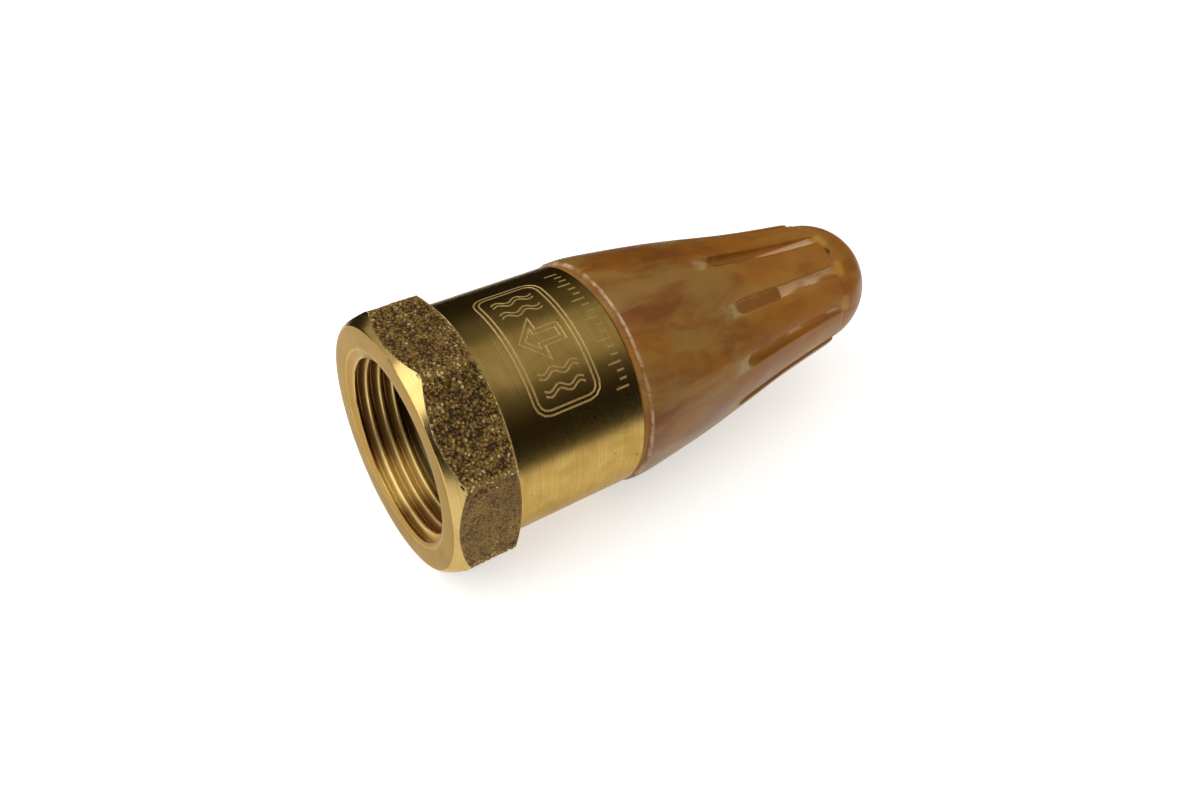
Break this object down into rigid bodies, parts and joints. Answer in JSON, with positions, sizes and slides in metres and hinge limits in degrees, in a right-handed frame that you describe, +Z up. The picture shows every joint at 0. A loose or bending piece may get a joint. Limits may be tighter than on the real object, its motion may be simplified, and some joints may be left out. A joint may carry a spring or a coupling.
{
  "type": "foot valve",
  "caption": "Suction foot valve: brass body with a tapped octagon outlet, spring-loaded poppet inside, and a tapering slotted plastic strainer.",
  "frame": {"origin": "bottom centre of the bounding box: below the middle of the valve's length, on the floor that it lies on", "axes": "+X along the valve axis from the tapped outlet face to the strainer tip, +Z up, with one flat of the octagon facing up and one facing down"},
  "size_m": [0.1018, 0.0424, 0.0424],
  "materials": {
    "body_brass": "cast octagon, turned barrel and face",
    "turned_brass": "turned",
    "stainless": "turned and pressed",
    "spring_wire": "drawn wire",
    "seal_rubber": "moulded, matt",
    "gasket_fibre": "pressed fibre",
    "acetal": "turned",
    "strainer_plastic": "moulded, satin, amber brown"
  },
  "bodies": {
    "body": {"valve_body": "body_brass", "body_gasket": "gasket_fibre", "seat_bush": "turned_brass", "guide_spider": "turned_brass", "guide_bushing": "acetal", "spider_ring": "stainless", "valve_spring": "spring_wire", "strainer": "strainer_plastic"},
    "poppet": {"poppet_stem": "stainless", "poppet_disc": "turned_brass", "poppet_seal": "seal_rubber", "seal_washer": "stainless", "lock_washer": "stainless", "stem_nut": "stainless"}
  },
  "joints": [
    {"name": "poppet_lift", "type": "slide", "parent": "body", "child": "poppet", "axis": [-1, 0, 0], "range_m": [0, 0.006], "stiffness_N_per_m": 900, "springref_m": -0.0014, "deforming": ["valve_spring"]}
  ]
}
